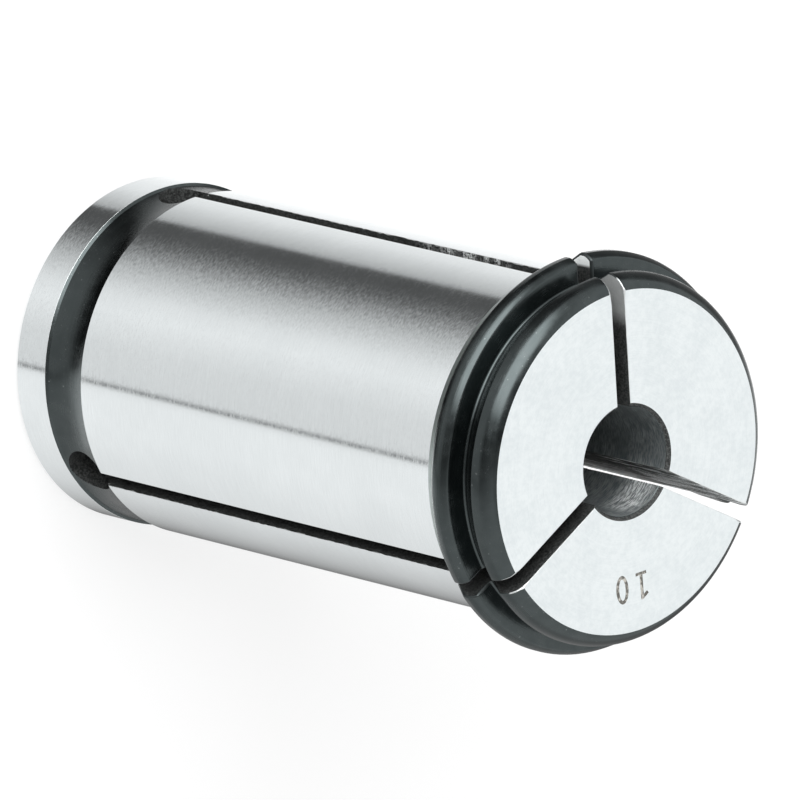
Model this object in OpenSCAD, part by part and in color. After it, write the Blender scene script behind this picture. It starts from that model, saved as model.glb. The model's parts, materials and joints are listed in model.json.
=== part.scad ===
// Spring collet with a straight ground shank, for a milling chuck. The chuck closes the shank, and the slots let
// its segments grip a round tool shank in the bore. The ring at the rear holds the segments together.
// The rear face lies on z = 0 and the nose points along +Z. All sizes are in millimetres.

/* [Overall] */
// Length from the rear face to the ground nose face
collet_length = 65.7; // [55:0.1:90]
// Diameter of the ground shank and of the rear ring
shank_diameter = 32; // [28:0.5:40]
// Break on the outer edge of the rear face
rear_edge_break = 0.4; // [0.1:0.1:1]

/* [Bore] */
// Diameter that grips the tool
bore_diameter = 10; // [6:0.5:16]
// Length of the gripping bore, measured from the nose face
bore_length = 40; // [25:0.5:45]
// Radial clearance of the wider bore behind it
relief_clearance = 1; // [0.3:0.1:2]
// Chamfer at the mouth of the bore
bore_chamfer = 0.35; // [0.1:0.05:1]
// Chamfer at the rear mouth
rear_chamfer = 0.6; // [0.1:0.1:1]

/* [Slots] */
// Number of slots around the axis
slot_count = 3; // [2:1:4]
// Width of the saw cut
slot_width = 1.55; // [1:0.05:2.5]
// Gap between each round slot end and the edges of the rear groove
hole_margin = 0.15; // [0.1:0.05:0.8]

/* [Rear ring and groove] */
// Width of the closed ring
ring_width = 4.3; // [3:0.1:8]
// Bright edge break on the front of the ring
ring_edge_break = 0.1; // [0.05:0.05:0.2]
// Break on the rear edge of the shank
shank_edge_break = 0.05; // [0.05:0.05:0.15]
// Width of the groove between ring and shank
groove_width = 5; // [4:0.1:7]
// Depth of the groove in its middle
groove_depth = 0.5; // [0.4:0.05:1]
// Depth of the groove at its two edges
groove_edge_depth = 0.2; // [0.15:0.05:0.3]

/* [Flange] */
// Distance from the nose face to the front of the flange
flange_setback = 4.15; // [3.8:0.05:6]
// Width of the flange
flange_width = 3.4; // [3:0.1:6]
// Height of the flange crest above the shank
flange_height = 2.35; // [2:0.05:3.5]
// Height of the flat rear shoulder above the shank
shoulder_height = 1.1; // [0.6:0.05:1.5]
// Rounding of the front edge of the flange
flange_round = 0.85; // [0.4:0.05:1]
// Length of the crest before the rear cone starts
crest_length = 0.55; // [0.4:0.05:0.8]
// Depth of the fine turned line around the crest
crest_line_depth = 0.18; // [0.1:0.02:0.2]
// Width of the fine turned line
crest_line_width = 0.3; // [0.2:0.02:0.3]

/* [Nose] */
// Height of the nose bead above the shank
bead_height = 1.04; // [0.6:0.02:1.4]
// Distance from the nose face to the crest of the bead
bead_setback = 1.95; // [1.5:0.05:2.5]
// Amount by which the ground face is smaller than the shank, on the radius
face_inset = 0.3; // [0.1:0.05:0.6]
// Amount by which the pull groove goes below the shank, on the radius
pull_groove_depth = 0.1; // [0.05:0.05:0.5]

/* [Hidden] */
// Straight pieces in each rounded stretch of the outline
arc_steps = 8;
shank_r = shank_diameter / 2;
bore_r = bore_diameter / 2;
relief_r = bore_r + relief_clearance;
overlap = 1;

// Heights above the rear face
groove_start = ring_width;
groove_end = ring_width + groove_width;
groove_middle = ring_width + groove_width / 2;
flange_front = collet_length - flange_setback;
flange_rear = flange_front - flange_width;
bead_crest = collet_length - bead_setback;
bore_bottom = collet_length - bore_length;

// Radii of the outline
face_r = shank_r - face_inset;
bead_r = shank_r + bead_height;
crest_r = shank_r + flange_height;
cutter_r = crest_r + overlap;
shoulder_r = shank_r + shoulder_height;
pull_groove_r = shank_r - pull_groove_depth;
root_round = 0.25;
crest_line = flange_front - flange_round - crest_line_width / 2;

// The groove floor is an arc that sinks from its edges to the middle
groove_sag = groove_depth - groove_edge_depth;
groove_arc_r = (pow(groove_width / 2, 2) + pow(groove_sag, 2)) / (2 * groove_sag);
groove_arc_centre = shank_r - groove_depth + groove_arc_r;
groove_half_angle = asin(groove_width / 2 / groove_arc_r);

// The bead is an arc from the edge of the face to its crest
bead_rise = bead_r - face_r;
bead_arc_r = (pow(bead_setback, 2) + pow(bead_rise, 2)) / (2 * bead_rise);
bead_arc_angle = asin(min(1, bead_setback / bead_arc_r));

hole_diameter = groove_width - 2 * hole_margin;

function arc(r, z, radius, from, to) =
    [for (i = [0:arc_steps]) let (a = from + (to - from) * i / arc_steps)
        [r + radius * cos(a), z + radius * sin(a)]];

function ring_outline() = [
    [0, 0],
    [shank_r - rear_edge_break, 0],
    [shank_r, rear_edge_break],
    [shank_r, groove_start - ring_edge_break],
    [shank_r - ring_edge_break, groove_start]
];

function groove_outline() =
    arc(groove_arc_centre, groove_middle, groove_arc_r, 180 + groove_half_angle, 180 - groove_half_angle);

function shank_outline() = [
    [shank_r - shank_edge_break, groove_end],
    [shank_r, groove_end + shank_edge_break],
    [shank_r, flange_rear]
];

function flange_outline() = concat(
    [
        [shoulder_r, flange_rear],
        [crest_r, flange_front - flange_round - crest_length],
        [crest_r, crest_line - crest_line_width / 2],
        [crest_r - crest_line_depth, crest_line]
    ],
    arc(crest_r - flange_round, flange_front - flange_round, flange_round, 0, 90),
    [[pull_groove_r + root_round, flange_front]]
);

function nose_outline() = concat(
    [[pull_groove_r, flange_front + root_round]],
    arc(bead_r - bead_arc_r, bead_crest, bead_arc_r, 0, bead_arc_angle),
    [[0, collet_length]]
);

// Solid of revolution before drilling and sawing
module turned_blank() {
    rotate_extrude($fn = 180)
        polygon(concat(
            ring_outline(),
            groove_outline(),
            shank_outline(),
            flange_outline(),
            nose_outline()
        ));
}

// Gripping bore at the nose, wider bore behind it, and a chamfer at each mouth
module tool_bore() {
    translate([0, 0, -overlap])
        cylinder(h = collet_length + 2 * overlap, r = bore_r, $fn = 96);
    translate([0, 0, -overlap])
        cylinder(h = bore_bottom + overlap, r = relief_r, $fn = 96);
    translate([0, 0, bore_bottom])
        cylinder(h = relief_clearance, r1 = relief_r, r2 = bore_r, $fn = 96);
    translate([0, 0, collet_length - bore_chamfer])
        cylinder(h = bore_chamfer + overlap, r1 = bore_r, r2 = bore_r + bore_chamfer + overlap, $fn = 96);
    translate([0, 0, -overlap])
        cylinder(h = rear_chamfer + overlap, r1 = relief_r + rear_chamfer + overlap, r2 = relief_r, $fn = 96);
}

// One saw cut from the nose to the rear groove, with the round hole it ends in
module slot() {
    translate([0, -slot_width / 2, groove_middle])
        cube([cutter_r, slot_width, collet_length]);
    translate([0, 0, groove_middle])
        rotate([0, 90, 0])
            cylinder(h = cutter_r, d = hole_diameter, $fn = 64);
}

module collet() {
    color([0.8, 0.81, 0.82])
        difference() {
            turned_blank();
            tool_bore();
            for (i = [0:slot_count - 1])
                rotate([0, 0, i * 360 / slot_count])
                    slot();
        }
}

collet();
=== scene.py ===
import json
import math

import bpy
from mathutils import Matrix, Vector, noise


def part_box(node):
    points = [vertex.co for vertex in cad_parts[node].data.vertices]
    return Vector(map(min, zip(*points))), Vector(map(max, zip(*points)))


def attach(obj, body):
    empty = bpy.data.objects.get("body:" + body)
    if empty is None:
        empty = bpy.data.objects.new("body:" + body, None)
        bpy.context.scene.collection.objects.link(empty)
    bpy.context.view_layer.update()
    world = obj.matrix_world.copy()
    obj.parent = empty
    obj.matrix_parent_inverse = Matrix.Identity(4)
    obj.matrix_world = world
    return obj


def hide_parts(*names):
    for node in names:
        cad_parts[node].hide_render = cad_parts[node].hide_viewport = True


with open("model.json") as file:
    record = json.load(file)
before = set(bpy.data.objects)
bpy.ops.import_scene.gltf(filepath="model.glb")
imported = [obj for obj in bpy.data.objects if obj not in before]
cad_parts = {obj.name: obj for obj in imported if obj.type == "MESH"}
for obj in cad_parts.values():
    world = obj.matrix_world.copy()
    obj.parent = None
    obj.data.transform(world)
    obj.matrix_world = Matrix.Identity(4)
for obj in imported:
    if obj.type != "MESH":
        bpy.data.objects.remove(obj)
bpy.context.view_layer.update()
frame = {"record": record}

# Sizes in millimetres. What the frame knows is read from it, and the rest repeats the part's own values.
TO_MM = 1000.0
mounts = {mount["name"]: mount for mount in frame["record"]["mounts"]}
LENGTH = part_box("collet")[1].z * TO_MM
SHANK_R = mounts["shank"]["dims"]["r_mm"]
BORE_R = mounts["bore"]["dims"]["r_mm"]
FLANGE_REAR = mounts["shoulder"]["pos_m"][2] * TO_MM

# Rear ring, groove and shank
REAR_BREAK = 0.4
RING_WIDTH = 4.3
RING_BREAK = 0.014
GROOVE_WIDTH = 5.0
GROOVE_DEPTH = 0.5
GROOVE_EDGE = 0.2
SHANK_BREAK = 0.05
GROOVE_END = RING_WIDTH + GROOVE_WIDTH
GROOVE_MIDDLE = RING_WIDTH + GROOVE_WIDTH / 2

# Flange
FLANGE_WIDTH = 3.4
FLANGE_FRONT = FLANGE_REAR + FLANGE_WIDTH
FLANGE_R = SHANK_R + 2.35
SHOULDER_R = SHANK_R + 1.1
CREST_LENGTH = 0.55
# Rear edge of the crest: how far each point lies under the crest, and past its start
CREST_EDGE = [(0.12, -0.2), (0.03, -0.03), (0.0, 0.1)]
# Front edge of the flange: radius and end of each arc, by the slope of its surface in degrees
FLANGE_ARCS = [(0.35, 25.0), (2.0, 52.0), (0.35, 90.0)]
FLANGE_ARC_STEPS = 5

# Pull groove, bead and face
BEAD_R = SHANK_R + 1.04
BEAD_CREST = LENGTH - 1.95
FACE_R = SHANK_R - 0.3
PULL_GROOVE_R = SHANK_R - 0.1
ROOT_ROUND = 0.25

# Bore and relief bore
RELIEF_R = BORE_R + 1.0
BORE_BOTTOM = LENGTH - 40.0
BORE_CHAMFER = 0.35
MOUTH_EDGE = 0.05
REAR_CHAMFER = 0.6

# Slots, and how much their edges are broken
SLOT_COUNT = 3
SLOT_WIDTH = 1.55
HOLE_R = 2.35
SHANK_EDGE_BREAK = 0.05
FLANGE_BREAK = 0.25
BEAD_BREAK = 0.12
RIM_BREAK = 0.2
FACE_BREAK = 0.04

# Finishes, in the order of the material slots
GROUND, FACE, BLACK, BORE, SAWN, DRILLED, EDGE, MARK = range(8)


# Mesh tools

def arc(r, z, radius, start, end, steps, finish):
    """Points of a round stretch of the outline, from one angle to the other, in degrees."""
    points = []
    for i in range(steps + 1):
        a = math.radians(start + (end - start) * i / steps)
        points.append((r + radius * math.cos(a), z + radius * math.sin(a), finish))
    return points


def line(start, end, steps, finish):
    """Evenly spaced points along a straight stretch, without its last one."""
    return [
        (start[0] + (end[0] - start[0]) * i / steps, start[1] + (end[1] - start[1]) * i / steps, finish)
        for i in range(steps)
    ]


def ring_outline():
    """Rear face and ring, from the rear chamfer's rim to the ring's front edge."""
    return [
        (RELIEF_R + REAR_CHAMFER, 0.0, BLACK),
        (SHANK_R - REAR_BREAK, 0.0, GROUND),
        (SHANK_R, REAR_BREAK, GROUND),
        (SHANK_R, RING_WIDTH - RING_BREAK, EDGE),
        (SHANK_R - RING_BREAK, RING_WIDTH, BLACK),
    ]


def groove_outline():
    """The groove's hollow floor: an arc that is deepest in the middle."""
    sag = GROOVE_DEPTH - GROOVE_EDGE
    radius = ((GROOVE_WIDTH / 2) ** 2 + sag ** 2) / (2 * sag)
    half = math.degrees(math.asin(GROOVE_WIDTH / 2 / radius))
    centre = SHANK_R - GROOVE_DEPTH + radius
    return arc(centre, GROOVE_MIDDLE, radius, 180 + half, 180 - half, steps=24, finish=BLACK)[1:]


def shank_outline():
    """The ground shank, from its broken rear edge to the flange's shoulder."""
    side = line((SHANK_R, GROOVE_END + SHANK_BREAK), (SHANK_R, FLANGE_REAR), steps=16, finish=GROUND)
    return [(SHANK_R - SHANK_BREAK, GROOVE_END, EDGE)] + side + [(SHANK_R, FLANGE_REAR, BLACK)]


def flange_outline():
    """Shoulder, rear cone, crest and the flatly rounded front edge, which is drawn from the crest on."""
    front, slope = [(0.0, 0.0)], 0.0
    for radius, end in FLANGE_ARCS:
        for _ in range(FLANGE_ARC_STEPS):
            step = math.radians((end - slope) / FLANGE_ARC_STEPS)
            middle = math.radians(slope) + step / 2
            chord = 2 * radius * math.sin(step / 2)
            r, z = front[-1]
            front.append((r - chord * math.sin(middle), z + chord * math.cos(middle)))
            slope += math.degrees(step)
    round_start = FLANGE_FRONT - front[-1][1]
    crest_start = round_start - CREST_LENGTH
    rear = [(SHOULDER_R, FLANGE_REAR, BLACK)]
    crest = [(FLANGE_R - drop, crest_start + along, BLACK) for drop, along in CREST_EDGE]
    return rear + crest + [(FLANGE_R + r, round_start + z, BLACK) for r, z in front]


def nose_outline():
    """Root of the pull groove, its sloped side, the bead and the ground face."""
    rise = BEAD_R - FACE_R
    setback = LENGTH - BEAD_CREST
    radius = (setback ** 2 + rise ** 2) / (2 * rise)
    sweep = math.degrees(math.asin(setback / radius))
    root_r, root_z = PULL_GROOVE_R + ROOT_ROUND, FLANGE_FRONT + ROOT_ROUND
    root = arc(root_r, root_z, ROOT_ROUND, 270, 180, steps=5, finish=BLACK)
    bead = arc(BEAD_R - radius, BEAD_CREST, radius, 0, sweep, steps=14, finish=BLACK)
    bead[-1] = (FACE_R, LENGTH, FACE)
    return root + bead


def bore_outline():
    """Chamfered mouth, bore, the cone that ends it, and the relief bore behind it."""
    mouth = [
        (BORE_R + BORE_CHAMFER, LENGTH, DRILLED),
        (BORE_R + MOUTH_EDGE, LENGTH - BORE_CHAMFER + MOUTH_EDGE, BLACK),
    ]
    side = line((BORE_R, LENGTH - BORE_CHAMFER), (BORE_R, BORE_BOTTOM + 1), steps=12, finish=BORE)
    rear = [(BORE_R, BORE_BOTTOM + 1, BORE), (RELIEF_R, BORE_BOTTOM, BORE), (RELIEF_R, REAR_CHAMFER, BLACK)]
    return mouth + side + rear


# Columns of the turned blank, in degrees from a slot's middle: one on each side of it, within the saw cut,
# and the rest evenly spaced over the leg, clear of the cut's edges
COLUMN_IN_SLOT = 1.4
COLUMN_CLEAR = 4.2
COLUMN_STEPS = 75


def turning_angles():
    """Angles of the blank's columns: even ones, and none where a slot's edge runs."""
    sector = 360 / SLOT_COUNT
    leg = sector - 2 * COLUMN_CLEAR
    even = [COLUMN_CLEAR + leg * i / COLUMN_STEPS for i in range(COLUMN_STEPS + 1)]
    one = [0.0, COLUMN_IN_SLOT] + even + [sector - COLUMN_IN_SLOT]
    return [math.radians(k * sector + a) for k in range(SLOT_COUNT) for a in one]


def make_mesh(name, points, faces, finishes):
    """An object from points in millimetres, with a finish for each face."""
    mesh = bpy.data.meshes.new(name)
    mesh.from_pydata([Vector(p) / TO_MM for p in points], [], faces)
    for finish in finish_materials:
        mesh.materials.append(finish)
    mesh.polygons.foreach_set("material_index", finishes)
    mesh.update()
    piece = bpy.data.objects.new(name, mesh)
    bpy.context.scene.collection.objects.link(piece)
    return piece


def turned_blank():
    """The collet before it is sawn: its closed outline turned about the axis."""
    outline = ring_outline() + groove_outline() + shank_outline() + flange_outline() + nose_outline()
    outline += bore_outline()
    angles = turning_angles()
    rows, columns = len(outline), len(angles)
    points, faces, finishes = [], [], []
    for r, z, _ in outline:
        points += [(r * math.cos(a), r * math.sin(a), z) for a in angles]
    for i in range(rows):
        for j in range(columns):
            here, up = i * columns, (i + 1) % rows * columns
            side = (j + 1) % columns
            faces.append((here + j, here + side, up + side, up + j))
            finishes.append(outline[i][2])
    return make_mesh("collet_dressed", points, faces, finishes), outline


def turned_about_axis(points, k):
    """Points of the first slot's cutter, turned to another slot."""
    turn = Matrix.Rotation(math.radians(360 / SLOT_COUNT) * k, 3, "Z")
    return [turn @ Vector(p) for p in points]


def spread(start, end, step):
    """Evenly spaced values from start to end, about a step apart."""
    count = max(1, round((end - start) / step))
    return [start + (end - start) * i / count for i in range(count + 1)]


# How far the saw wandered in a slow wave and in a quick chatter, how often each changes outwards and along
# the axis, and the share of both that is left in the head
SAW_WAVE = 0.025
SAW_CHATTER = 0.04
WAVE_RATES = (0.25, 0.35)
CHATTER_RATES = (0.6, 2.6)
SAW_IN_HEAD = 0.1


def saw_roughness(x, z, seed):
    """How far the saw wandered from its plane at a place on the slot's wall. It ran truer in the head."""
    wave = noise.noise(Vector((x * WAVE_RATES[0], z * WAVE_RATES[1], seed)))
    chatter = noise.noise(Vector((x * CHATTER_RATES[0], z * CHATTER_RATES[1], seed + 7.3)))
    share = 1.0 if z < FLANGE_REAR - 1 else SAW_IN_HEAD
    return (SAW_WAVE * wave + SAW_CHATTER * chatter) * share


# Reach of the cutters, from inside the bore to past the flange and the face
CUT_INNER_R = 2.5
CUT_OUTER_R = FLANGE_R + 1.5
CUT_TOP = LENGTH + 1.0
# Mesh size of a saw cut's walls, outwards and along the axis, and the number of sides of a hole
WALL_STEP_OUT = 1.3
WALL_STEP_ALONG = 0.33
HOLE_STEPS = 64


def slot_cutter(k):
    """One saw cut. Its walls are fine grids, so that the slot's edges come out slightly ragged."""
    xs = spread(CUT_INNER_R, CUT_OUTER_R, WALL_STEP_OUT)
    zs = spread(GROOVE_MIDDLE, CUT_TOP, WALL_STEP_ALONG)
    points, faces = [], []
    for side in (-1, 1):
        for x in xs:
            points += [(x, side * (SLOT_WIDTH / 2 + saw_roughness(x, z, 10 * k + side)), z) for z in zs]
    nx, nz = len(xs), len(zs)
    wall = nx * nz
    for i in range(nx - 1):
        for j in range(nz - 1):
            a, b = i * nz + j, (i + 1) * nz + j
            faces.append((a, b, b + 1, a + 1))
            faces.append((wall + a, wall + a + 1, wall + b + 1, wall + b))
    border = [i * nz for i in range(nx)]
    border += [(nx - 1) * nz + j for j in range(1, nz)]
    border += [i * nz + nz - 1 for i in reversed(range(nx - 1))]
    border += reversed(range(1, nz - 1))
    for a, b in zip(border, border[1:] + border[:1]):
        faces.append((a, wall + a, wall + b, b))
    return turned_about_axis(points, k), faces


def hole_cutter(k):
    """The round hole that a slot ends in."""
    points = []
    for x in (CUT_INNER_R, CUT_OUTER_R):
        for i in range(HOLE_STEPS):
            a = 2 * math.pi * (i + 0.5) / HOLE_STEPS
            points.append((x, HOLE_R * math.cos(a), GROOVE_MIDDLE + HOLE_R * math.sin(a)))
    faces = [tuple(reversed(range(HOLE_STEPS))), tuple(range(HOLE_STEPS, 2 * HOLE_STEPS))]
    for i in range(HOLE_STEPS):
        j = (i + 1) % HOLE_STEPS
        faces.append((i, j, HOLE_STEPS + j, HOLE_STEPS + i))
    return turned_about_axis(points, k), faces


# Path of a slot's edge break: its start in the groove, its places on the face by their distance from the
# rim, and its end past the bore's edge
BREAK_START = GROOVE_END - 0.2
BREAK_ON_FACE = (0.1, 0.2, 0.3, 0.45, 0.6, 0.8, 1.0, 1.3)
BREAK_END_R = BORE_R - 0.5
# Distance over which the break narrows from the rim, and how close to an edge a point counts as on it
RIM_FADE = 0.5
NEAR = 0.01


def rim_break(distance):
    """Size of a slot's edge break by the distance from the face's rim, where it is widest."""
    return FACE_BREAK + (RIM_BREAK - FACE_BREAK) * math.exp(-(distance / RIM_FADE) ** 2)


def edge_break_path(outline):
    """Places along the outside of a slot's mouth, each with the size that its edge is broken by."""
    path = [(SHANK_R, BREAK_START, SHANK_EDGE_BREAK)]
    for r, z, _ in outline:
        if z < GROOVE_END or r < FACE_R - NEAR:
            continue
        if z < FLANGE_REAR + NEAR and r < SHANK_R + NEAR:
            size = SHANK_EDGE_BREAK
        elif z < FLANGE_FRONT + NEAR:
            size = FLANGE_BREAK
        else:
            size = max(BEAD_BREAK, rim_break(math.hypot(r - FACE_R, z - LENGTH)))
        path.append((r, z, size))
    for distance in BREAK_ON_FACE:
        path.append((FACE_R - distance, LENGTH, rim_break(distance)))
    return path + [(BREAK_END_R, LENGTH, FACE_BREAK)]


# Section of the trough that rounds a slot's edges: its reach into the cut and above the surface, its depth
# below the round, its flare above the surface, and the steps of the round
TROUGH_REACH = 0.1
TROUGH_DEPTH = 0.3
TROUGH_FLARE = 0.02
TROUGH_STEPS = 4
# Least cosine at a corner of the trough's path, which limits how much the corner stretches it, and the
# shortest stretch that has a direction
MITRE_LIMIT = 0.6
SHORTEST = 1e-6


def edge_break_section(size):
    """Half of a trough's section, as width and height: it rounds a slot's edge by the size."""
    edge = SLOT_WIDTH / 2
    section = [(edge - TROUGH_REACH, -size - TROUGH_DEPTH)]
    for i in range(TROUGH_STEPS + 1):
        a = math.radians(180 - 90 * i / TROUGH_STEPS)
        section.append((edge + size + size * math.cos(a), -size + size * math.sin(a)))
    return section + [(edge + size + TROUGH_FLARE, TROUGH_REACH)]


def edge_break_cutter(k, outline):
    """A trough swept along a slot's mouth, whose flared sides round the slot's edges."""
    path = edge_break_path(outline)
    points, faces = [], []
    for i, (r, z, size) in enumerate(path):
        before, after = path[max(i - 1, 0)], path[min(i + 1, len(path) - 1)]
        normals = []
        for a, b in ((before, (r, z)), ((r, z), after)):
            way = Vector((b[0] - a[0], b[1] - a[1]))
            if way.length > SHORTEST:
                normals.append(Vector((way.y, -way.x)).normalized())
        normal = sum(normals, Vector((0, 0))).normalized()
        stretch = 1 / max(MITRE_LIMIT, normal.dot(normals[0]))
        half = edge_break_section(size)
        section = [(-y, depth) for y, depth in half] + [(y, depth) for y, depth in reversed(half)]
        for y, depth in reversed(section):
            radius = r + normal.x * depth * stretch
            points.append((math.sqrt(radius ** 2 - y ** 2), y, z + normal.y * depth * stretch))
    sides = len(section)
    for i in range(len(path) - 1):
        for j in range(sides):
            a, b = sides * i + j, sides * i + (j + 1) % sides
            faces.append((a, a + sides, b + sides, b))
    last = sides * (len(path) - 1)
    faces += [tuple(range(sides)), tuple(reversed(range(last, last + sides)))]
    return turned_about_axis(points, k), faces


# The size number on the face. Each digit is drawn upright about its own centre.
MARK_DEPTH = 0.06
MARK_TURN = math.radians(181.6)
ONE_PLACE = Vector((-11.68, -0.90))
ZERO_PLACE = Vector((-11.59, 1.45))
# Half width and half height of the nought, outside and inside
ZERO_OUTSIDE = (0.74, 1.33)
ZERO_INSIDE = (0.39, 0.99)
ONE_OUTLINE = [
    (-0.64, -1.27), (0.64, -1.27), (0.64, -0.98), (0.17, -0.98), (0.17, 1.29), (-0.08, 1.29),
    (-0.76, 0.88), (-0.60, 0.60), (-0.17, 0.84), (-0.17, -0.98), (-0.64, -0.98),
]


def prism(rings, place):
    """A closed prism through the face, from one outline or from an outer and an inner one."""
    turn = Matrix.Rotation(MARK_TURN - math.pi / 2, 2)
    points, faces = [], []
    count = len(rings[0])
    for z in (LENGTH - MARK_DEPTH, CUT_TOP):
        for ring in rings:
            for p in ring:
                spot = place + turn @ Vector(p)
                points.append((spot.x, spot.y, z))
    layer = count * len(rings)
    for i in range(count):
        j = (i + 1) % count
        faces.append((i, j, layer + j, layer + i))
        if len(rings) == 2:
            faces.append((count + j, count + i, layer + count + i, layer + count + j))
            faces.append((j, i, count + i, count + j))
            faces.append((layer + i, layer + j, layer + count + j, layer + count + i))
    if len(rings) == 1:
        faces += [tuple(reversed(range(count))), tuple(range(layer, layer + count))]
    return points, faces


def ellipse(half_width, half_height, steps=40):
    """Outline of an ellipse about the origin."""
    return [
        (half_width * math.cos(2 * math.pi * i / steps), half_height * math.sin(2 * math.pi * i / steps))
        for i in range(steps)
    ]


def joined(name, parts, finish):
    """One cutter from several closed shapes that don't touch each other."""
    points, faces = [], []
    for more_points, more_faces in parts:
        first = len(points)
        points += more_points
        faces += [tuple(first + i for i in face) for face in more_faces]
    return make_mesh(name, points, faces, [finish] * len(faces))


def cut_away(piece, cutter):
    """Cuts one shape out of the piece and removes the cutter."""
    modifier = piece.modifiers.new(cutter.name, "BOOLEAN")
    modifier.operation = "DIFFERENCE"
    modifier.solver = "MANIFOLD"
    modifier.object = cutter
    bpy.context.view_layer.objects.active = piece
    bpy.ops.object.modifier_apply(modifier=modifier.name)
    mesh = cutter.data
    bpy.data.objects.remove(cutter)
    bpy.data.meshes.remove(mesh)


# Edges that turn more sharply than this stay sharp
SHARP_ANGLE = math.radians(28)


def dressed_collet():
    """The collet with its slots, holes, broken edges and number. The face and the number stay flat."""
    piece, outline = turned_blank()
    turns = range(SLOT_COUNT)
    cut_away(piece, joined("slots", [slot_cutter(k) for k in turns], SAWN))
    cut_away(piece, joined("holes", [hole_cutter(k) for k in turns], DRILLED))
    cut_away(piece, joined("edge_breaks", [edge_break_cutter(k, outline) for k in turns], EDGE))
    zero = prism([ellipse(*ZERO_OUTSIDE), ellipse(*ZERO_INSIDE)], ZERO_PLACE)
    cut_away(piece, joined("mark", [prism([ONE_OUTLINE], ONE_PLACE), zero], MARK))
    mesh = piece.data
    mesh.polygons.foreach_set("use_smooth", [True] * len(mesh.polygons))
    mesh.set_sharp_from_angle(angle=SHARP_ANGLE)
    for face in mesh.polygons:
        face.use_smooth = face.material_index not in (FACE, MARK)
    return piece


# Materials

# Where nearly all of a noise's values lie
NOISE_SPAN = (0.3, 0.7)


class Nodes:
    """Short calls that make and link the nodes of one tree."""

    def __init__(self, tree):
        self.tree = tree

    def node(self, kind, inputs=None, **settings):
        made = self.tree.nodes.new(kind)
        for key, value in settings.items():
            setattr(made, key, value)
        for key, value in (inputs or {}).items():
            self.feed(made.inputs[key], value)
        return made

    def feed(self, socket, value):
        if isinstance(value, bpy.types.NodeSocket):
            self.tree.links.new(value, socket)
        else:
            socket.default_value = value

    def math(self, operation, a, b=0.0):
        return self.node("ShaderNodeMath", {0: a, 1: b}, operation=operation).outputs[0]

    def vector(self, operation, inputs):
        return self.node("ShaderNodeVectorMath", inputs, operation=operation).outputs[0]

    def add(self, a, b):
        return self.math("ADD", a, b)

    def times(self, a, b):
        return self.math("MULTIPLY", a, b)

    def less(self, a, b):
        return self.math("SUBTRACT", a, b)

    def greater(self, a, b):
        return self.math("MAXIMUM", a, b)

    def range(self, value, low, high, to_low, to_high):
        inputs = {"Value": value, "From Min": low, "From Max": high, "To Min": to_low, "To Max": to_high}
        return self.node("ShaderNodeMapRange", inputs, interpolation_type="SMOOTHSTEP").outputs[0]

    def vary(self, noise_value, to_low, to_high):
        """A noise carried over to another span."""
        return self.range(noise_value, *NOISE_SPAN, to_low, to_high)

    def rise(self, value, low, high):
        """Nought up to the first limit, one from the second on, and a soft rise between them."""
        return self.range(value, low, high, 0.0, 1.0)

    def between(self, value, low, high, soft):
        """One inside the two limits, and fading to nought outside them."""
        begin = self.rise(value, low - soft, low + soft)
        end = self.range(value, high - soft, high + soft, 1.0, 0.0)
        return self.times(begin, end)

    def ramp(self, factor, stops):
        """Grey levels by position, from a list of both."""
        made = self.node("ShaderNodeValToRGB", {0: factor})
        elements = made.color_ramp.elements
        while len(elements) < len(stops):
            elements.new(0.5)
        for element, (position, level) in zip(elements, stops):
            element.position = position
            element.color = (level, level, level, 1)
        return made.outputs[0]


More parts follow.
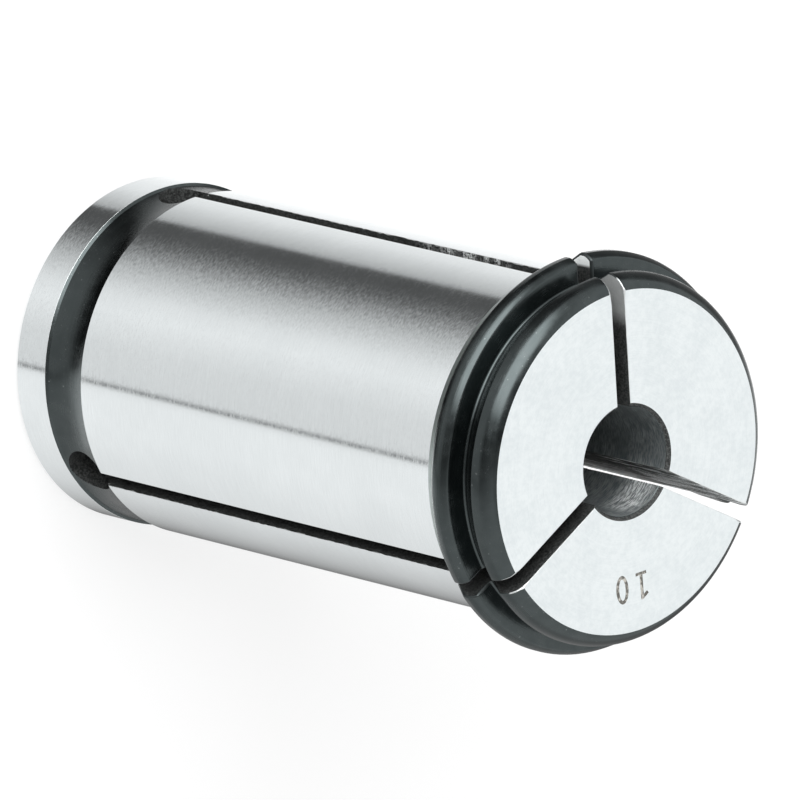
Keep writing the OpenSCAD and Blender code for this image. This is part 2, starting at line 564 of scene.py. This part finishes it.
class Finish(Nodes):
    """A material, with the place on the collet in millimetres and its distance from the axis at hand."""

    def __init__(self, name):
        self.material = bpy.data.materials.new(name)
        self.material.use_nodes = True
        super().__init__(self.material.node_tree)
        self.surface = self.tree.nodes["Principled BSDF"]
        place = self.node("ShaderNodeTexCoord").outputs["Object"]
        self.place = self.vector("SCALE", {0: place, "Scale": TO_MM})
        parts = self.node("ShaderNodeSeparateXYZ", {0: self.place}).outputs
        self.x, self.y, self.z = parts[0], parts[1], parts[2]
        across = self.add(self.times(self.x, self.x), self.times(self.y, self.y))
        self.radius = self.math("SQRT", across)
        self.around = self.times(self.math("ARCTAN2", self.y, self.x), 180 / math.pi)

    def spot(self, x, y, z):
        return self.node("ShaderNodeCombineXYZ", {0: x, 1: y, 2: z}).outputs[0]

    def turned(self, along, across):
        """Place for marks that run round the axis: how often they change along their run, and across it."""
        lay = self.add(self.z, self.times(self.radius, 0.7))
        return self.spot(self.times(self.x, along), self.times(self.y, along), self.times(lay, across))

    def noise(self, place, scale=1.0, detail=3.0, roughness=0.55):
        inputs = {"Vector": place, "Scale": scale, "Detail": detail, "Roughness": roughness}
        return self.node("ShaderNodeTexNoise", inputs).outputs["Fac"]

    def towards(self, direction):
        """Distance from the axis towards a direction."""
        return self.add(self.times(self.x, direction.x), self.times(self.y, direction.y))

    def mix(self, factor, a, b):
        """Two colours mixed: the first where the factor is nought, the second where it is one."""
        return self.node("ShaderNodeMix", {0: factor, 6: a, 7: b}, data_type="RGBA").outputs[2]

    def bump(self, height, strength, distance, onto=None):
        inputs = {"Height": height, "Strength": strength, "Distance": distance}
        if onto is not None:
            inputs["Normal"] = onto
        return self.node("ShaderNodeBump", inputs).outputs[0]

    def swung(self, amount):
        """The surface's normal, swung sideways round the axis by an amount in radians."""
        side = self.vector("NORMALIZE", {0: self.spot(self.times(self.y, -1.0), self.x, 0.0)})
        kinds = {"vector_type": "VECTOR", "convert_from": "OBJECT", "convert_to": "WORLD"}
        side = self.node("ShaderNodeVectorTransform", {0: side}, **kinds).outputs[0]
        swing = self.vector("SCALE", {0: side, "Scale": amount})
        normal = self.node("ShaderNodeNewGeometry").outputs["Normal"]
        return self.vector("NORMALIZE", {0: self.vector("ADD", {0: normal, 1: swing})})

    def done(self, **inputs):
        """The finished material, from what goes into the surface's own sockets."""
        for key, value in inputs.items():
            self.feed(self.surface.inputs[key.replace("_", " ")], value)
        return self.material


# Side of the shank that was ground more coarsely, in degrees round the axis, and the swing of its grain
COARSE_SIDE = (26.0, 53.0)
COARSE_SWING = 0.044
FINE_SWING = 0.005


def ground_steel():
    """Ground steel: silvery and sharp, under a dense lay of short duller scratches round the axis."""
    s = Finish("ground_steel")
    dark, light = (0.78, 0.82, 0.83, 1), (0.91, 0.95, 0.96, 1)
    long_lay = s.noise(s.turned(along=0.5, across=8.5), detail=3.0, roughness=0.7)
    short_lay = s.noise(s.turned(along=2.7, across=9.5), detail=2.0, roughness=0.6)
    cloud = s.noise(s.place, scale=0.16, detail=2.0)
    tone = s.add(s.vary(long_lay, -0.15, 0.15), s.vary(cloud, -0.12, 0.12))
    colour = s.mix(s.add(tone, 0.5), dark, light)
    dashes = s.rise(s.add(s.times(short_lay, 0.8), s.times(long_lay, 0.2)), 0.45, 0.62)
    rough = s.add(s.times(dashes, 0.1), s.vary(cloud, 0.05, 0.08))
    coarse = s.add(s.times(s.between(s.around, *COARSE_SIDE, soft=4.0), COARSE_SWING), FINE_SWING)
    swing = s.times(s.vary(short_lay, -1.0, 1.0), coarse)
    normal = s.bump(short_lay, strength=0.08, distance=0.00003, onto=s.swung(swing))
    return s.done(Metallic=1.0, Base_Color=colour, Roughness=rough, Normal=normal)


def ground_face():
    """The nose face: finely ground, nearly white, with faint rings and a soft clouding."""
    s = Finish("ground_face")
    dark, light = (0.775, 0.827, 0.84, 1), (0.865, 0.912, 0.92, 1)
    rings = s.noise(s.turned(along=0.45, across=11.0), detail=3.0, roughness=0.7)
    cloud = s.noise(s.place, scale=0.3, detail=2.0)
    mottle = s.noise(s.place, scale=1.6, detail=3.0, roughness=0.7)
    tone = s.add(s.vary(rings, -0.2, 0.2), s.vary(cloud, -0.25, 0.25))
    tone = s.add(tone, s.vary(mottle, -0.35, 0.35))
    colour = s.mix(s.add(tone, 0.5), dark, light)
    normal = s.bump(rings, strength=0.08, distance=0.00002)
    return s.done(Metallic=1.0, Base_Color=colour, Roughness=s.vary(cloud, 0.28, 0.34), Normal=normal)


# Width of the flange's rear that is painted grey, as a painted reflection of light grazing off it
GRAZING_REFLECTION_WIDTH = 1.55


def black_oxide():
    """Blackened turned steel: fine turning lines, faint smears, a few specks, and the flange's grey rear,
    which is a painted reflection of grazing light.
    """
    s = Finish("black_oxide")
    darker, lighter = (0.062, 0.073, 0.074, 1), (0.074, 0.086, 0.087, 1)
    # grey is the colour of the painted grazing reflection on the flange's rear
    speck, grey = (0.3, 0.32, 0.32, 1), (0.27, 0.31, 0.30, 1)
    lines = s.noise(s.turned(along=0.25, across=11.0), detail=3.0, roughness=0.6)
    smear = s.noise(s.place, scale=0.6, detail=4.0, roughness=0.6)
    specks = s.noise(s.place, scale=4.5, detail=2.0, roughness=0.5)
    # Painted reflection: a grey band on the flange's rear, in place of light grazing off its turned-away
    # surface
    grazing_reflection = s.between(s.z, FLANGE_REAR, FLANGE_REAR + GRAZING_REFLECTION_WIDTH, soft=0.15)
    grazing_reflection = s.times(grazing_reflection, s.range(lines, 0.3, 0.5, 0.6, 1.0))
    colour = s.mix(s.rise(smear, 0.35, 0.7), darker, lighter)
    colour = s.mix(s.range(specks, 0.70, 0.79, 0.0, 0.7), colour, speck)
    colour = s.mix(grazing_reflection, colour, grey)
    rough = s.add(s.vary(smear, 0.17, 0.27), s.vary(lines, -0.02, 0.04))
    rough = s.add(rough, s.times(grazing_reflection, 0.28))
    normal = s.bump(lines, strength=0.3, distance=0.00003)
    return s.done(Metallic=1.0, Base_Color=colour, Roughness=rough, Normal=normal)


# Painted highlight in the bore near the mouth, in place of light coming in through a slot: its side, as a
# direction from the axis, how far towards it the surface starts to shine and shines fully, and the nearest
# and furthest distance from the face
HIGHLIGHT_SIDE = Vector((-0.80, -0.60, 0.0))
HIGHLIGHT_REACH = (3.9, 5.0)
HIGHLIGHT_DEPTHS = (1.0, 4.0)


def honed_bore():
    """Dull bore with fine honing marks round the axis, and a painted highlight on one side near the mouth.
    """
    s = Finish("honed_bore")
    dull, steel = (0.145, 0.168, 0.174, 1), (0.97, 1.0, 1.0, 1)
    marks = s.noise(s.turned(along=1.4, across=8.0), detail=2.0, roughness=0.6)
    patches = s.noise(s.place, scale=0.5, detail=2.0)
    near, far = HIGHLIGHT_DEPTHS
    # Painted highlight: one side of the bore near the mouth is made light, in place of light coming in
    # through a slot
    mouth = s.between(s.z, LENGTH - far, LENGTH - near, soft=1.3)
    mouth = s.times(s.rise(s.towards(HIGHLIGHT_SIDE), *HIGHLIGHT_REACH), mouth)
    level = s.add(s.times(patches, 0.42), s.times(mouth, 1.1))
    # Lighter patches all over, plus the painted highlight near the mouth
    bare_and_painted_light = s.times(s.range(marks, 0.36, 0.66, 0.1, 1.0), level)
    colour = s.mix(bare_and_painted_light, dull, steel)
    normal = s.bump(marks, strength=0.5, distance=0.00006)
    return s.done(Metallic=0.6, Base_Color=colour, Roughness=s.vary(marks, 0.38, 0.55), Normal=normal)


# Saw blade that cut the slots: its radius, and its centre's distance from the axis
BLADE_R = 45.0
BLADE_CENTRE = 43.0
# Where the first slot's wall was scuffed bare: range of heights, and the depth from the outside
SCUFF_HEIGHTS = (39.0, 50.0)
SCUFF_DEPTH = 1.6
# Where the first slot's wall is bare in the head, with painted light that makes it lighter towards the
# outside: radii on the flange, and radii and heights under the face, with how bare and light it is there
FLANGE_RIM = (SHANK_R + 1.0, SHANK_R + 1.4)
FACE_RIM = (12.0, 14.0)
FACE_RIM_HEIGHTS = (LENGTH - 3.4, LENGTH - 3.0)
FACE_RIM_BARE_AND_PAINTED_LIGHT = 0.35
# Direction of the slot whose walls kept long scratches, the radii and the heights over which they get
# brighter, and how bright they are deep down
SCRATCHED_SLOT = Vector((-0.5, -0.866, 0.0))
SCRATCH_RADII = (9.0, 12.0)
SCRATCH_HEIGHTS = (54.5, 57.5)
SCRATCH_DEEP = 0.25


def saw_lay(s):
    """Marks that the saw left on a wall: long scratches, and faint arcs of the blade's radius."""
    reach = s.less(s.radius, BLADE_CENTRE)
    sweep = s.less(s.z, s.math("SQRT", s.less(BLADE_R ** 2, s.times(reach, reach))))
    arcs = s.noise(s.spot(s.times(sweep, 8.0), s.times(s.radius, 0.8), s.x), detail=3.0, roughness=0.7)
    along = s.spot(s.times(s.radius, 1.5), s.times(s.y, 0.2), s.times(s.z, 0.12))
    scratches = s.noise(along, detail=3.0, roughness=0.65)
    return s.add(s.times(scratches, 0.85), s.times(arcs, 0.15))


def bare_scratches(s, lay):
    """Bare scratches on one slot's walls, in patches, and more of them near the outside and the face."""
    patches = s.noise(s.spot(s.times(s.radius, 0.5), 0.0, s.times(s.z, 0.3)), detail=1.0)
    kept = s.add(s.range(patches, 0.42, 0.52, 0.1, 1.0), s.range(s.radius, *SCRATCH_RADII, 0.0, 0.8))
    kept = s.times(kept, s.range(s.z, *SCRATCH_HEIGHTS, SCRATCH_DEEP, 1.0))
    kept = s.times(s.rise(s.towards(SCRATCHED_SLOT), 0.0, 2.0), kept)
    return s.times(s.rise(lay, 0.43, 0.52), kept)


def bare_rims_and_painted_light(s):
    """Bare steel and painted light at the head's outside: on the flange, and more faintly under the face.
    """
    face = s.times(s.range(s.z, *FACE_RIM_HEIGHTS, 0.0, FACE_RIM_BARE_AND_PAINTED_LIGHT), s.rise(s.radius, *FACE_RIM))
    return s.greater(s.rise(s.radius, *FLANGE_RIM), face)


def bare_scuffs(s, grit):
    """Patchy scuffs along the outside of a stretch of the shank."""
    scuffed = s.between(s.z, *SCUFF_HEIGHTS, soft=1.5)
    scuffed = s.times(scuffed, s.rise(s.radius, SHANK_R - SCUFF_DEPTH, SHANK_R))
    along = s.noise(s.spot(0.0, 0.0, s.times(s.z, 0.7)), detail=2.0)
    patchy = s.times(s.rise(grit, 0.44, 0.56), s.range(along, 0.44, 0.56, 0.1, 1.0))
    return s.times(scuffed, patchy)


def sawn_wall():
    """Saw-cut wall: dark and gritty, with bare scratches in one slot, and in one bare rims with painted
    light and scuffs.
    """
    s = Finish("sawn_wall")
    black, grey, bare_and_painted_light = (0.010, 0.0113, 0.0113, 1), (0.075, 0.079, 0.077, 1), (0.92, 0.95, 0.95, 1)
    grit = s.noise(s.place, scale=5.5, detail=3.0, roughness=0.75)
    lay = saw_lay(s)
    # The first slot is the only one on this side.
    first = s.rise(s.x, 0.0, 1.0)
    # Painted light: the first slot's wall is made lighter towards the outside of the head, on partly bare
    # steel
    shine = s.times(s.greater(bare_rims_and_painted_light(s), bare_scuffs(s, grit)), first)
    shine = s.greater(bare_scratches(s, lay), shine)
    colour = s.mix(shine, s.mix(s.rise(grit, 0.38, 0.64), black, grey), bare_and_painted_light)
    rough = s.add(s.vary(grit, 0.45, 0.65), s.times(shine, -0.2))
    normal = s.bump(grit, strength=0.4, distance=0.00006)
    normal = s.bump(lay, strength=0.5, distance=0.0001, onto=normal)
    return s.done(Metallic=0.1, Base_Color=colour, Roughness=rough, Normal=normal)


def drilled_hole():
    """Wall of a slot's round end, and the bore's chamfer: dark and gritty."""
    s = Finish("drilled_hole")
    black, grey = (0.009, 0.0102, 0.0102, 1), (0.085, 0.09, 0.088, 1)
    grit = s.noise(s.place, scale=5.0, detail=3.0, roughness=0.75)
    colour = s.mix(s.rise(grit, 0.4, 0.64), black, grey)
    normal = s.bump(grit, strength=0.6, distance=0.00008)
    return s.done(Metallic=0.2, Base_Color=colour, Roughness=s.vary(grit, 0.45, 0.7), Normal=normal)


# Heights between which the broken edges are blackened
BLACK_EDGE_HEIGHTS = (FLANGE_REAR - 0.1, LENGTH - 0.95)


def broken_edge():
    """Broken edges: bare on the shank and next to the face, and blackened on the rest of the head."""
    s = Finish("broken_edge")
    dark, light, black = (0.6, 0.63, 0.63, 1), (0.85, 0.88, 0.88, 1), (0.07, 0.08, 0.081, 1)
    wear = s.noise(s.place, scale=0.9, detail=2.0, roughness=0.5)
    head = s.between(s.z, *BLACK_EDGE_HEIGHTS, soft=0.1)
    colour = s.mix(head, s.mix(s.rise(wear, 0.3, 0.6), dark, light), black)
    return s.done(Metallic=1.0, Base_Color=colour, Roughness=s.vary(wear, 0.32, 0.44))


def marked_number():
    """Floor of the marked number: dull grey-brown with lighter spots."""
    s = Finish("marked_number")
    brown, light = (0.14, 0.135, 0.12, 1), (0.55, 0.53, 0.49, 1)
    spots = s.noise(s.place, scale=2.6, detail=3.0, roughness=0.6)
    colour = s.mix(s.rise(spots, 0.44, 0.62), brown, light)
    normal = s.bump(spots, strength=0.3, distance=0.00005)
    return s.done(Metallic=0.2, Base_Color=colour, Roughness=s.vary(spots, 0.55, 0.75), Normal=normal)


# Stage, light and camera

# View of the photo. The camera is rolled, so that the standing collet lies across the picture.
CAMERA_AZIMUTH = math.radians(67.306)
CAMERA_ELEVATION = math.radians(46.784)
CAMERA_ROLL = math.radians(103.456)
CAMERA_AIM = Vector((0.2047, -1.2451, 33.8551)) / TO_MM
CAMERA_DISTANCE = 1.33427
CAMERA_LENS = 660.3
SENSOR_WIDTH = 36.0

# Half the floor's width in metres, its own grey, and the glow that lifts the grey to white for the camera
FLOOR_HALF = 6.0
FLOOR_TONE = 0.4
FLOOR_GLOW = 0.6


def seen_directly(nodes):
    """One for what the camera sees itself or through glass, and nought for all other light."""
    path = nodes.node("ShaderNodeLightPath").outputs
    return nodes.greater(path["Is Camera Ray"], path["Is Transmission Ray"])


def stage_floor():
    """A plain floor. The camera sees it as white, and it keeps the collet's soft shadow."""
    mesh = bpy.data.meshes.new("floor")
    corners = [(x * FLOOR_HALF, y * FLOOR_HALF, 0) for x, y in ((-1, -1), (1, -1), (1, 1), (-1, 1))]
    mesh.from_pydata(corners, [], [(0, 1, 2, 3)])
    floor = bpy.data.objects.new("floor", mesh)
    bpy.context.scene.collection.objects.link(floor)
    material = bpy.data.materials.new("floor")
    material.use_nodes = True
    nodes = Nodes(material.node_tree)
    nodes.tree.nodes.clear()
    matt = nodes.node("ShaderNodeBsdfDiffuse", {"Color": (FLOOR_TONE, FLOOR_TONE, FLOOR_TONE, 1)})
    glow = nodes.node("ShaderNodeEmission", {"Strength": nodes.times(seen_directly(nodes), FLOOR_GLOW)})
    both = nodes.node("ShaderNodeAddShader", {0: matt.outputs[0], 1: glow.outputs[0]})
    nodes.node("ShaderNodeOutputMaterial", {"Surface": both.outputs[0]})
    mesh.materials.append(material)
    floor.visible_glossy = False


# Brightness of the studio by degrees round the axis from the camera's own azimuth, low down and high up
LOW_BANDS = [
    (-180, 1.1), (-165, 1.12), (-120, 0.85), (-100, 0.55), (-94.5, 0.46),
    (-92.5, 0.09), (-84, 0.085), (-77, 0.10), (-69, 0.17), (-60, 0.33), (-50, 0.53), (-30, 0.85),
    (-18, 0.91), (6, 0.77), (29.2, 0.75), (30, 0.2), (31.8, 0.2), (32.8, 0.86), (38, 0.92), (60, 0.92),
    (100, 0.81), (117, 0.73), (135, 0.58), (153, 0.39), (168, 0.2), (180, 0.5),
]
HIGH_BANDS = [
    (-180, 1.0), (-150, 1.04), (-105, 1.1), (-84, 0.7), (-20, 0.6), (0, 0.25), (24, 0.22), (38, 0.65),
    (60, 1.05), (110, 1.08), (140, 1.05), (158, 1.0), (180, 1.0),
]
# Soft box high up: its sides and heights in degrees, and its strength
SOFT_BOX_SIDES = (-70.0, -10.0)
SOFT_BOX_HEIGHTS = (6.0, 57.0)
SOFT_BOX_STRENGTH = 3.8
# Grey screen to one side, and the share of the light that it takes
SCREEN_SIDES = (-165.0, -100.0)
SCREEN_HEIGHTS = (-39.0, 7.0)
SCREEN_DEPTH = 0.7
# Dark table low down, the height of its edge, and the share of the light that it takes
TABLE_SIDES = (-98.0, 31.0)
TABLE_EDGE = -53.0
TABLE_DEPTH = 0.95
# Sheen beside the table: its sides, how far over and under the table's edge it rises, and its strength
SHEEN_SIDES = (38.0, 108.0)
SHEEN_RISE = (3.0, 9.0)
SHEEN_STRENGTH = 1.1
# Heights between which the light fades overhead, and the share that is left at the top
TOP_FADE = (62.0, 76.0)
TOP_SHARE = 0.5
# Half the height over which the low bands blend into the high ones
HORIZON_BLEND = 8.0


def studio_light(nodes, azimuth, height):
    """Brightness of the studio in one direction."""
    share = nodes.add(nodes.times(azimuth, 1 / 360), 0.5)
    low = nodes.ramp(share, [(degrees / 360 + 0.5, level) for degrees, level in LOW_BANDS])
    high = nodes.ramp(share, [(degrees / 360 + 0.5, level) for degrees, level in HIGH_BANDS])

    deep = nodes.rise(height, TABLE_EDGE + 2, TABLE_EDGE - 2)
    table = nodes.times(nodes.times(nodes.between(azimuth, *TABLE_SIDES, soft=3), deep), TABLE_DEPTH)
    over, under = SHEEN_RISE
    strength = nodes.range(height, TABLE_EDGE + over, TABLE_EDGE - under, 0.0, SHEEN_STRENGTH)
    sheen = nodes.times(nodes.between(azimuth, *SHEEN_SIDES, soft=6), strength)
    below = nodes.add(nodes.times(low, nodes.less(1.0, table)), sheen)

    box = nodes.between(azimuth, *SOFT_BOX_SIDES, soft=8)
    box = nodes.times(box, nodes.between(height, *SOFT_BOX_HEIGHTS, soft=5))
    top = nodes.range(height, *TOP_FADE, 1.0, TOP_SHARE)
    above = nodes.add(nodes.times(high, top), nodes.times(box, SOFT_BOX_STRENGTH))

    upward = nodes.rise(height, -HORIZON_BLEND, HORIZON_BLEND)
    light = nodes.add(nodes.times(above, upward), nodes.times(below, nodes.less(1.0, upward)))
    screen = nodes.between(azimuth, *SCREEN_SIDES, soft=5)
    screen = nodes.times(screen, nodes.between(height, *SCREEN_HEIGHTS, soft=2))
    return nodes.times(light, nodes.add(1.0, nodes.times(screen, -SCREEN_DEPTH)))


def studio_world():
    """A soft studio: bright all round, with a soft box, dark gaps beside it and a dark table low down."""
    world = bpy.data.worlds.new("studio")
    bpy.context.scene.world = world
    world.use_nodes = True
    nodes = Nodes(world.node_tree)
    nodes.tree.nodes.clear()
    way = nodes.node("ShaderNodeTexCoord").outputs["Generated"]
    turn = (0, 0, -CAMERA_AZIMUTH)
    turned = nodes.node("ShaderNodeMapping", {"Vector": way, "Rotation": turn}).outputs[0]
    parts = nodes.node("ShaderNodeSeparateXYZ", {0: turned}).outputs
    azimuth = nodes.times(nodes.math("ARCTAN2", parts[1], parts[0]), 180 / math.pi)
    height = nodes.times(nodes.math("ARCSINE", parts[2]), 180 / math.pi)
    light = studio_light(nodes, azimuth, height)

    seen = seen_directly(nodes)
    strength = nodes.add(seen, nodes.times(light, nodes.less(1.0, seen)))
    back = nodes.node("ShaderNodeBackground", {"Color": (1, 1, 1, 1), "Strength": strength})
    nodes.node("ShaderNodeOutputWorld", {"Surface": back.outputs[0]})


def camera():
    """The photo's view: a long lens from afar."""
    data = bpy.data.cameras.new("camera")
    data.lens = CAMERA_LENS
    data.sensor_width = SENSOR_WIDTH
    data.clip_start = 0.1
    data.clip_end = 50
    eye = bpy.data.objects.new("camera", data)
    bpy.context.scene.collection.objects.link(eye)
    level = Vector((math.cos(CAMERA_AZIMUTH), math.sin(CAMERA_AZIMUTH), 0)) * math.cos(CAMERA_ELEVATION)
    back = level + Vector((0, 0, math.sin(CAMERA_ELEVATION)))
    flat_right = Vector((0, 0, 1)).cross(back).normalized()
    flat_up = back.cross(flat_right)
    right = flat_right * math.cos(CAMERA_ROLL) + flat_up * math.sin(CAMERA_ROLL)
    up = back.cross(right)
    pose = Matrix((right, up, back)).transposed().to_4x4()
    pose.translation = CAMERA_AIM + back * CAMERA_DISTANCE
    eye.matrix_world = pose
    bpy.context.scene.camera = eye


finish_materials = [
    ground_steel(), ground_face(), black_oxide(), honed_bore(),
    sawn_wall(), drilled_hole(), broken_edge(), marked_number(),
]
collet = dressed_collet()
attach(collet, "root")
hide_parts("collet")

stage_floor()
studio_world()
camera()

bpy.context.scene.view_settings.view_transform = "Standard"
